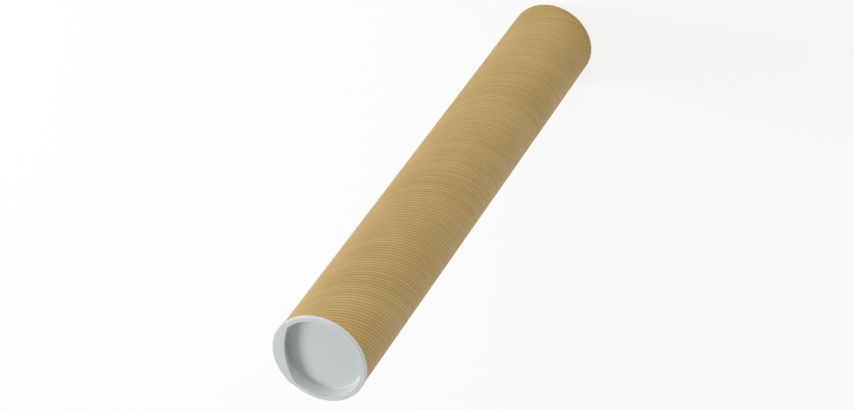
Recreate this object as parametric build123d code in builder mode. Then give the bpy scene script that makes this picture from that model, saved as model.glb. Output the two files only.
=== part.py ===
# Cardboard mailing tube for rolled sheets: a spiral-wound tube, a push-in plastic cap with a
# pull tab in its top end, and a plain plastic plug in its bottom end.
# Millimetres. +Z runs up the tube, the origin is the middle of the bottom end, and the pull
# tab points along +X.

import os

from build123d import *

# Tube
tube_length = 330.0
tube_diameter = 50.0
tube_wall = 1.5

# Fit of the cap and the plug in the bore
bore_clearance = 0.05  # radial gap beside the seat of a skirt
skirt_wall = 0.8
floor_thickness = 1.0
corner_round = 0.8  # inside corner between a skirt and its floor

# Top cap
flange_thickness = 2.0
flange_overhang = 0.15  # how far the flange stands out past the tube
flange_round = 0.5
cap_seat_length = 1.5  # straight part of the skirt, next to the flange
cap_recess_depth = 5.5
cap_recess_taper = 1.2  # the recess loses this much radius on the way down

# Pull tab: a crescent ledge over the edge of the recess, with a low lip outside the flange
tab_half_angle = 48.0
tab_width = 3.6
tab_thickness = 1.5
tab_lip = 0.6
tab_corner_round = 0.4

# Bottom plug, pressed in until its rim is flush with the end of the tube
plug_length = 12.0
plug_lead = 3.0  # length of the cone that guides the plug in
plug_lead_inset = 0.8
plug_recess_taper = 1.2

tube_radius = tube_diameter / 2
bore_radius = tube_radius - tube_wall
seat_radius = bore_radius - bore_clearance
mouth_radius = seat_radius - skirt_wall
flange_radius = tube_radius + flange_overhang
face_height = tube_length + flange_thickness


def round_corner(section, radius, across, up):
    """Rounds the corner of a section that stands at this radius and height."""
    fillet(section.vertices().sort_by_distance((across, up))[0], radius)


# Tube: one wound wall, cut square at both ends
with BuildPart() as tube:
    with BuildSketch():
        Circle(tube_radius)
        Circle(bore_radius, mode=Mode.SUBTRACT)
    extrude(amount=tube_length)

# Top cap: flange, tapered skirt and floor are one turned section
cap_floor = face_height - cap_recess_depth
cap_bottom = cap_floor - floor_thickness
cap_floor_radius = mouth_radius - cap_recess_taper

with BuildPart() as top_cap:
    with BuildSketch(Plane.XZ) as cap_section:
        with BuildLine():
            Polyline(
                (0, cap_bottom),
                (cap_floor_radius + skirt_wall, cap_bottom),
                (seat_radius, tube_length - cap_seat_length),
                (seat_radius, tube_length),
                (flange_radius, tube_length),
                (flange_radius, face_height),
                (mouth_radius, face_height),
                (cap_floor_radius, cap_floor),
                (0, cap_floor),
                close=True,
            )
        make_face()
        round_corner(cap_section, corner_round, cap_floor_radius, cap_floor)
        round_corner(cap_section, corner_round, cap_floor_radius + skirt_wall, cap_bottom)
    revolve(axis=Axis.Z)

    # The lip of the tab: a stretch of the flange that stands out a little further
    lip_radius = flange_radius + tab_lip
    with BuildSketch(Plane.XY.offset(tube_length)) as lip_outline:
        with BuildLine():
            lip_arc = CenterArc((0, 0), lip_radius, -tab_half_angle, 2 * tab_half_angle)
            root_arc = CenterArc((0, 0), seat_radius, -tab_half_angle, 2 * tab_half_angle)
            Line(lip_arc @ 0, root_arc @ 0)
            Line(lip_arc @ 1, root_arc @ 1)
        make_face()
        fillet(lip_outline.vertices().group_by(Axis.X)[-1], tab_corner_round)
    extrude(amount=flange_thickness)

    # The ledge of the tab: a crescent that covers part of the mouth and is open below
    ledge_root_radius = mouth_radius + skirt_wall / 2
    with BuildSketch(Plane.XY.offset(face_height - tab_thickness)):
        with BuildLine():
            ledge_root = CenterArc((0, 0), ledge_root_radius, -tab_half_angle, 2 * tab_half_angle)
            ThreePointArc(ledge_root @ 0, (mouth_radius - tab_width, 0), ledge_root @ 1)
        make_face()
    extrude(amount=tab_thickness)

    outer_edge = top_cap.faces().sort_by(Axis.Z)[-1].outer_wire().edges()
    fillet(outer_edge, flange_round)

# Bottom plug: a cup that opens downwards
plug_ceiling = plug_length - floor_thickness
plug_ceiling_radius = mouth_radius - plug_recess_taper

with BuildPart() as bottom_plug:
    with BuildSketch(Plane.XZ) as plug_section:
        with BuildLine():
            Polyline(
                (0, plug_ceiling),
                (plug_ceiling_radius, plug_ceiling),
                (mouth_radius, 0),
                (seat_radius, 0),
                (seat_radius, plug_length - plug_lead),
                (seat_radius - plug_lead_inset, plug_length),
                (0, plug_length),
                close=True,
            )
        make_face()
        round_corner(plug_section, corner_round, plug_ceiling_radius, plug_ceiling)
        round_corner(plug_section, corner_round, seat_radius - plug_lead_inset, plug_length)
    revolve(axis=Axis.Z)

tube.part.label = "tube"
top_cap.part.label = "top_cap"
bottom_plug.part.label = "bottom_plug"

os.makedirs("parts", exist_ok=True)
export_step(tube.part, "parts/tube.step")
export_step(top_cap.part, "parts/top_cap.step")
export_step(bottom_plug.part, "parts/bottom_plug.step")
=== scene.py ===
import bmesh
import bpy
import math
import random

from mathutils import Matrix, Vector


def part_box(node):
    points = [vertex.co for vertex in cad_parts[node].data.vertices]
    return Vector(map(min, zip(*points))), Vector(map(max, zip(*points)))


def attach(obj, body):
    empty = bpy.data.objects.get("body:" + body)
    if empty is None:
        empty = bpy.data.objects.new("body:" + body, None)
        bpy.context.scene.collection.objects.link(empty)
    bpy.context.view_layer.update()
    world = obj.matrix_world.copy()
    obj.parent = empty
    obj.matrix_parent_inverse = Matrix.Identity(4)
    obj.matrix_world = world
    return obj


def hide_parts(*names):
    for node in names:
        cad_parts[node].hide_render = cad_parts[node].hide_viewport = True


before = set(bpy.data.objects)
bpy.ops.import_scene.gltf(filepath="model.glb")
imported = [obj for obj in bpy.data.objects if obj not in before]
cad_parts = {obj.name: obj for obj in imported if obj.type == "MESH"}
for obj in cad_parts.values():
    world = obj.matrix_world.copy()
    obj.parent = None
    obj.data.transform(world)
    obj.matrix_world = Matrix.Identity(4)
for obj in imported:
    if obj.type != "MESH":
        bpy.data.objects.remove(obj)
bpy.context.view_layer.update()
millimetre = 0.001

tubeLow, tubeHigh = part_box("tube")
tubeRadius = (tubeHigh[1] - tubeLow[1]) / 2
tubeLength = tubeHigh[2] - tubeLow[2]
print("frame loaded: tube", round(tubeRadius * 2, 4), "by", round(tubeLength, 4))


def direction(azimuth, elevation):
    # towards a place round the tube, in degrees: azimuth 0 is in front, and grows towards the tab
    azimuth = math.radians(azimuth)
    elevation = math.radians(elevation)
    return Vector((
        math.sin(azimuth) * math.cos(elevation),
        -math.cos(azimuth) * math.cos(elevation),
        math.sin(elevation),
    ))


def facing(target, towards, distance):
    # place and turn of a camera or a lamp that looks at the target from this direction
    turn = towards.to_track_quat("Z", "Y").to_matrix().to_4x4()
    return Matrix.Translation(Vector(target) + towards * distance) @ turn


def putInScene(name, data):
    thing = bpy.data.objects.new(name, data)
    bpy.context.scene.collection.objects.link(thing)
    return thing


camera = {
    "lens": 108.9,
    "azimuth": -33.7,
    "elevation": 49.6,
    "distance": 1.39,
    "aim": (0.0019, -0.0013, 0.1878),
    "roll": -143.7,       # degrees: the standing tube lies across the frame, cap at the lower left
    "clip": (0.05, 50),
}


def makeCamera():
    data = bpy.data.cameras.new("camera")
    data.lens = camera["lens"]
    data.clip_start, data.clip_end = camera["clip"]
    rig = putInScene("camera", data)
    towards = direction(camera["azimuth"], camera["elevation"])
    roll = Matrix.Rotation(math.radians(camera["roll"]), 4, "Z")
    rig.matrix_world = facing(camera["aim"], towards, camera["distance"]) @ roll
    bpy.context.scene.camera = rig
    print("camera placed")


def addNode(tree, kind, values=None, **settings):
    node = tree.nodes.new(kind)
    for key, value in settings.items():
        setattr(node, key, value)
    for key, value in (values or {}).items():
        node.inputs[key].default_value = value
    return node


def startMaterial(name):
    material = bpy.data.materials.new(name)
    material.use_nodes = True
    tree = material.node_tree
    return material, tree, tree.nodes["Principled BSDF"]


def mixColour(tree, factor, first, second):
    node = addNode(tree, "ShaderNodeMix", data_type="RGBA")
    sockets = (node.inputs[0], node.inputs[6], node.inputs[7])    # factor and the two colours
    for socket, value in zip(sockets, (factor, first, second)):
        if isinstance(value, tuple):
            socket.default_value = value
        else:
            tree.links.new(value, socket)
    return node.outputs[2]


def mapValue(tree, value, fromLow, fromHigh, toLow, toHigh):
    node = addNode(tree, "ShaderNodeMapRange", {1: fromLow, 2: fromHigh, 3: toLow, 4: toHigh})
    tree.links.new(value, node.inputs[0])
    return node.outputs[0]


def combine(tree, operation, first, second):
    node = addNode(tree, "ShaderNodeMath", operation=operation)
    for socket, value in zip(node.inputs, (first, second)):
        if isinstance(value, float):
            socket.default_value = value
        else:
            tree.links.new(value, socket)
    return node.outputs[0]


# Mottling that paper, board and plastic all have: a soft cloud for the colour, a grain for the bump
mottle = {
    "Cloud": {"Detail": 3.0, "Roughness": 0.55},
    "Grain": {"Detail": 5.0, "Roughness": 0.65},
}


def makeGrainGroup():
    group = bpy.data.node_groups.new("surfaceGrain", "ShaderNodeTree")
    for result in mottle:
        group.interface.new_socket(result + " Scale", in_out="INPUT", socket_type="NodeSocketFloat")
    for result in mottle:
        group.interface.new_socket(result, in_out="OUTPUT", socket_type="NodeSocketFloat")
    inside = addNode(group, "NodeGroupInput")
    outside = addNode(group, "NodeGroupOutput")
    place = addNode(group, "ShaderNodeTexCoord")
    for result, settings in mottle.items():
        noise = addNode(group, "ShaderNodeTexNoise", settings)
        group.links.new(place.outputs["Object"], noise.inputs["Vector"])
        group.links.new(inside.outputs[result + " Scale"], noise.inputs["Scale"])
        group.links.new(noise.outputs["Fac"], outside.inputs[result])
    return group


grainGroup = makeGrainGroup()


def addGrain(tree, finish):
    node = addNode(tree, "ShaderNodeGroup")
    node.node_tree = grainGroup
    node.inputs["Cloud Scale"].default_value = finish["cloudScale"]
    node.inputs["Grain Scale"].default_value = finish["grainScale"]
    return node.outputs["Cloud"], node.outputs["Grain"]


def addBump(tree, shader, height, finish):
    bump = addNode(tree, "ShaderNodeBump", {"Strength": finish["bump"], "Distance": finish["bumpHeight"]})
    tree.links.new(height, bump.inputs["Height"])
    tree.links.new(bump.outputs["Normal"], shader.inputs["Normal"])


def addShine(tree, shader, grain, finish):
    # roughness follows the grain
    smooth, rough = finish["roughness"]
    tree.links.new(mapValue(tree, grain, 0.3, 0.7, smooth, rough), shader.inputs["Roughness"])


# Radius, turn and height on the tube, for the ply rings of the cut board and the seam of the lining
def makeRoundGroup():
    group = bpy.data.node_groups.new("placeRoundTube", "ShaderNodeTree")
    for result in ("Radius", "Turn", "Height"):
        group.interface.new_socket(result, in_out="OUTPUT", socket_type="NodeSocketFloat")
    outside = addNode(group, "NodeGroupOutput")
    place = addNode(group, "ShaderNodeTexCoord")
    split = addNode(group, "ShaderNodeSeparateXYZ")
    group.links.new(place.outputs["Object"], split.inputs[0])
    across = addNode(group, "ShaderNodeCombineXYZ")
    group.links.new(split.outputs["X"], across.inputs["X"])
    group.links.new(split.outputs["Y"], across.inputs["Y"])
    radius = addNode(group, "ShaderNodeVectorMath", operation="LENGTH")
    group.links.new(across.outputs[0], radius.inputs[0])
    angle = combine(group, "ARCTAN2", split.outputs["Y"], split.outputs["X"])
    turn = combine(group, "DIVIDE", angle, 2 * math.pi)
    group.links.new(radius.outputs["Value"], outside.inputs["Radius"])
    group.links.new(turn, outside.inputs["Turn"])
    group.links.new(split.outputs["Z"], outside.inputs["Height"])
    return group


roundGroup = makeRoundGroup()


def placeRoundTube(tree):
    node = addNode(tree, "ShaderNodeGroup")
    node.node_tree = roundGroup
    return node.outputs


# Ribbed kraft paper on the outside of the tube, with painted shade in its grooves
kraft = {
    "ridge": (0.53, 0.37, 0.13, 1),
    "warm": (0.50, 0.325, 0.10, 1),    # redder patches of the pulp
    # painted groove shade colour, also the dark end of the random rib tone
    "paintedGrooveShadeAndDarkRib": (0.23, 0.145, 0.04, 1),
    "fibre": (0.62, 0.48, 0.22, 1),
    "patchShare": 0.8,
    "fibreShare": 0.30,
    "paintedGrooveShadeShare": 0.8,      # how much shade is painted onto the paper at the bottom of a groove
    "paintedGrooveShadeWidth": 0.7,      # of a rib's height, above which no shade is painted
    "ribTone": 0.22,         # how much darker than the others a rib may be
    "roughness": (0.44, 0.60),
    "specular": 0.4,
    "cloudScale": 24.0,
    "grainScale": 900.0,
    "bump": 0.35,
    "bumpHeight": 0.05 * millimetre,
}


def makeKraft():
    material, tree, shader = startMaterial("kraftPaper")
    cloud, grain = addGrain(tree, kraft)
    height = addNode(tree, "ShaderNodeAttribute", attribute_name="ribHeight")
    tone = addNode(tree, "ShaderNodeAttribute", attribute_name="ribTone")
    patch = mapValue(tree, cloud, 0.38, 0.66, 0.0, kraft["patchShare"])
    paper = mixColour(tree, patch, kraft["ridge"], kraft["warm"])
    fibres = mapValue(tree, grain, 0.60, 0.78, 0.0, kraft["fibreShare"])
    paper = mixColour(tree, fibres, paper, kraft["fibre"])
    # painted shade: the paper is darkened towards the bottom of each groove, where shade falls between
    # the ribs
    paintedGrooveShade = mapValue(tree, height.outputs["Fac"], 0.0, kraft["paintedGrooveShadeWidth"], kraft["paintedGrooveShadeShare"], 0.0)
    paper = mixColour(tree, paintedGrooveShade, paper, kraft["paintedGrooveShadeAndDarkRib"])
    ribTone = mapValue(tree, tone.outputs["Fac"], 0.0, 1.0, 0.0, kraft["ribTone"])
    paper = mixColour(tree, ribTone, paper, kraft["paintedGrooveShadeAndDarkRib"])
    tree.links.new(paper, shader.inputs["Base Color"])
    addShine(tree, shader, grain, kraft)
    shader.inputs["Specular IOR Level"].default_value = kraft["specular"]
    addBump(tree, shader, grain, kraft)
    return material


# Grey-brown board on the cut ends of the tube, with a line of glue between its plies
cutBoard = {
    "ply": (0.40, 0.31, 0.20, 1),
    "dark": (0.24, 0.18, 0.115, 1),
    "plyThickness": 0.30 * millimetre,
    "glueWidth": 0.2,        # of a ply
    "glueShare": 0.75,
    "fleckFrom": 0.45,
    "fleckShare": 0.7,
    "roughness": 0.9,
    "cloudScale": 160.0,
    "grainScale": 2600.0,
    "bump": 0.6,
    "bumpHeight": 0.15 * millimetre,
}


def finishBoard(tree, shader, colour, grain, finish):
    flecks = mapValue(tree, grain, finish["fleckFrom"], 0.75, 0.0, finish["fleckShare"])
    colour = mixColour(tree, flecks, colour, finish["dark"])
    tree.links.new(colour, shader.inputs["Base Color"])
    shader.inputs["Roughness"].default_value = finish["roughness"]
    addBump(tree, shader, grain, finish)


def makeCutBoard():
    material, tree, shader = startMaterial("boardEnd")
    grain = addGrain(tree, cutBoard)[1]
    fromGlue = combine(tree, "PINGPONG", placeRoundTube(tree)["Radius"], cutBoard["plyThickness"] / 2)
    glueWidth = cutBoard["plyThickness"] * cutBoard["glueWidth"]
    glueLine = mapValue(tree, fromGlue, 0.0, glueWidth, cutBoard["glueShare"], 0.0)
    colour = mixColour(tree, glueLine, cutBoard["ply"], cutBoard["dark"])
    finishBoard(tree, shader, colour, grain, cutBoard)
    return material


# Board lining of the bore, with the seam between its turns
lining = {
    "board": (0.42, 0.335, 0.225, 1),
    "dark": cutBoard["dark"],
    "seamWidth": 0.012,      # of a turn
    "seamShare": 0.8,
    "fleckFrom": 0.5,
    "fleckShare": 0.4,
    "roughness": 0.85,
    "cloudScale": 60.0,
    "grainScale": 1400.0,
    "bump": 0.4,
    "bumpHeight": 0.08 * millimetre,
}


def makeLining(lead):
    material, tree, shader = startMaterial("boardLiner")
    grain = addGrain(tree, lining)[1]
    place = placeRoundTube(tree)
    climb = combine(tree, "DIVIDE", place["Height"], lead)
    fromSeam = combine(tree, "PINGPONG", combine(tree, "SUBTRACT", climb, place["Turn"]), 0.5)
    seam = mapValue(tree, fromSeam, 0.0, lining["seamWidth"], lining["seamShare"], 0.0)
    colour = mixColour(tree, seam, lining["board"], lining["dark"])
    finishBoard(tree, shader, colour, grain, lining)
    return material


# Pale moulded plastic of the cap and the plug
plastic = {
    "colour": (0.63, 0.655, 0.66, 1),
    "clouded": (0.585, 0.615, 0.62, 1),
    "roughness": (0.37, 0.50),
    "cloudScale": 45.0,
    "grainScale": 1500.0,
    "bump": 0.25,
    "bumpHeight": 0.02 * millimetre,
}


def makePlastic():
    material, tree, shader = startMaterial("capPlastic")
    cloud, grain = addGrain(tree, plastic)
    colour = mixColour(tree, cloud, plastic["colour"], plastic["clouded"])
    tree.links.new(colour, shader.inputs["Base Color"])
    addShine(tree, shader, grain, plastic)
    addBump(tree, shader, grain, plastic)
    return material


def finishMouldings():
    capPlastic = makePlastic()
    for name in ("top_cap", "bottom_plug"):
        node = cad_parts[name]
        node.data.materials.clear()
        node.data.materials.append(capPlastic)
    print("plastic given to the cap and the plug")


# The wound tube: a ribbed ring screwed upwards, so that every rib runs as a right-hand helix
winding = {
    "ribs": 42,
    "pointsPerRib": 6,
    "ribDepth": 0.14 * millimetre,
    "ribRoundness": 0.7,         # under 1 gives broad ridges and narrow grooves
    "climbPerRadian": 0.617,     # of the tube's radius
    "stepDegrees": 4.2,
    "wall": 1.5 * millimetre,
    "sharpDegrees": 50,
    "seed": 7,
}


def only(kind, items):
    return [item for item in items if isinstance(item, kind)]


def windOutside(shape, wind, steps):
    # the ribbed outside, and the rings of edges at its two ends
    chance = random.Random(winding["seed"])
    ribHeight = shape.verts.layers.float.new("ribHeight")
    ribTone = shape.verts.layers.float.new("ribTone")
    tones = [chance.random() for rib in range(winding["ribs"])]
    points = winding["ribs"] * winding["pointsPerRib"]
    bmesh.ops.create_circle(shape, cap_ends=False, radius=tubeRadius, segments=points)
    shape.verts.ensure_lookup_table()
    for number, point in enumerate(shape.verts):
        rib, part = divmod(number, winding["pointsPerRib"])
        height = math.sin(math.pi * part / winding["pointsPerRib"]) ** winding["ribRoundness"]
        point[ribHeight] = height
        point[ribTone] = tones[rib]
        point.co *= 1 - winding["ribDepth"] * (1 - height) / tubeRadius
    bottom = list(shape.edges)
    screwed = bmesh.ops.spin(
        shape,
        geom=list(shape.verts) + bottom,
        cent=(0, 0, 0),
        axis=(0, 0, 1),
        dvec=(0, 0, tubeLength / steps),
        angle=wind,
        steps=steps,
        use_merge=False,
        use_duplicate=False,
    )
    return bottom, only(bmesh.types.BMEdge, screwed["geom_last"])


def lineBore(shape):
    # the plain inside, and the rings of edges at its two ends
    points = winding["ribs"] * winding["pointsPerRib"]
    radius = tubeRadius - winding["wall"]
    ring = bmesh.ops.create_circle(shape, cap_ends=False, radius=radius, segments=points)["verts"]
    bottom = list({edge for point in ring for edge in point.link_edges})
    raised = bmesh.ops.extrude_edge_only(shape, edges=bottom)["geom"]
    topPoints = only(bmesh.types.BMVert, raised)
    bmesh.ops.translate(shape, verts=topPoints, vec=(0, 0, tubeLength))
    for face in only(bmesh.types.BMFace, raised):
        face.material_index = 2
    top = [edge for edge in only(bmesh.types.BMEdge, raised) if set(edge.verts) <= set(topPoints)]
    return bottom, top


def makeTube():
    pointAngle = 2 * math.pi / (winding["ribs"] * winding["pointsPerRib"])
    wind = tubeLength / (winding["climbPerRadian"] * tubeRadius)    # radians from end to end
    wind = round(wind / pointAngle) * pointAngle    # both ends then line up with the bore
    steps = round(math.degrees(wind) / winding["stepDegrees"])
    shape = bmesh.new()
    outside = windOutside(shape, wind, steps)
    bore = lineBore(shape)
    for outer, inner in zip(outside, bore):
        for face in bmesh.ops.bridge_loops(shape, edges=outer + inner)["faces"]:
            face.material_index = 1
    bmesh.ops.recalc_face_normals(shape, faces=shape.faces)
    for face in shape.faces:
        face.smooth = face.material_index != 1
    mesh = bpy.data.meshes.new("paperTube")
    shape.to_mesh(mesh)
    shape.free()
    lead = 2 * math.pi * winding["climbPerRadian"] * tubeRadius
    for material in (makeKraft(), makeCutBoard(), makeLining(lead)):
        mesh.materials.append(material)
    mesh.set_sharp_from_angle(angle=math.radians(winding["sharpDegrees"]))
    piece = putInScene("paperTube", mesh)
    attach(piece, "tube")
    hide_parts("tube")
    print("tube wound:", len(mesh.polygons), "faces in", steps, "steps")


studio = {
    "floorSize": 6.0,
    "floorColour": (0.86, 0.86, 0.86, 1),
    "floorRoughness": 0.95,
    "floorGlow": 0.80,           # share of plain white that a camera ray sees
    "worldStrength": 0.40,
    "white": (1, 1, 1, 1),
    "aimHeight": 0.6,            # of the tube, where the lamps point
}

lamps = {
    # azimuth and elevation in degrees, distance and size in metres, power in watts
    "keyLight": (95, 42, 1.1, 0.5, 7.8),
    "frontLight": (3, 5, 1.6, 1.4, 17.0),
    "backLight": (-130, 10, 1.6, 1.4, 8.5),
}


def makeLamp(name, azimuth, elevation, distance, size, power):
    data = bpy.data.lights.new(name, "AREA")
    data.shape = "DISK"
    data.size = size
    data.energy = power
    lamp = putInScene(name, data)
    middle = (0, 0, tubeLength * studio["aimHeight"])
    lamp.matrix_world = facing(middle, direction(azimuth, elevation), distance)


def showToCamera(tree, share, usual, white, output):
    # camera rays see this share of plain white, and all other rays see the usual surface
    path = addNode(tree, "ShaderNodeLightPath")
    blend = addNode(tree, "ShaderNodeMixShader")
    tree.links.new(combine(tree, "MULTIPLY", path.outputs["Is Camera Ray"], share), blend.inputs[0])
    tree.links.new(usual.outputs[0], blend.inputs[1])
    tree.links.new(white.outputs[0], blend.inputs[2])
    tree.links.new(blend.outputs[0], tree.nodes[output].inputs["Surface"])


def makeFloor():
    material, tree, shader = startMaterial("paleFloor")
    shader.inputs["Base Color"].default_value = studio["floorColour"]
    shader.inputs["Roughness"].default_value = studio["floorRoughness"]
    glow = addNode(tree, "ShaderNodeEmission", {"Color": studio["white"], "Strength": 1.0})
    showToCamera(tree, studio["floorGlow"], shader, glow, "Material Output")
    shape = bmesh.new()
    bmesh.ops.create_grid(shape, x_segments=1, y_segments=1, size=studio["floorSize"] / 2)
    mesh = bpy.data.meshes.new("floor")
    shape.to_mesh(mesh)
    shape.free()
    mesh.materials.append(material)
    putInScene("floor", mesh)


def makeWorld():
    world = bpy.data.worlds.new("studio")
    bpy.context.scene.world = world
    world.use_nodes = True
    tree = world.node_tree
    light = tree.nodes["Background"]
    light.inputs["Color"].default_value = studio["white"]
    light.inputs["Strength"].default_value = studio["worldStrength"]
    white = addNode(tree, "ShaderNodeBackground", {"Color": studio["white"], "Strength": 1.0})
    showToCamera(tree, 1.0, light, white, "World Output")


def makeStudio():
    makeFloor()
    makeWorld()
    for name, settings in lamps.items():
        makeLamp(name, *settings)
    bpy.context.scene.view_settings.view_transform = "Standard"
    print("studio ready")


makeCamera()
makeTube()
finishMouldings()
makeStudio()
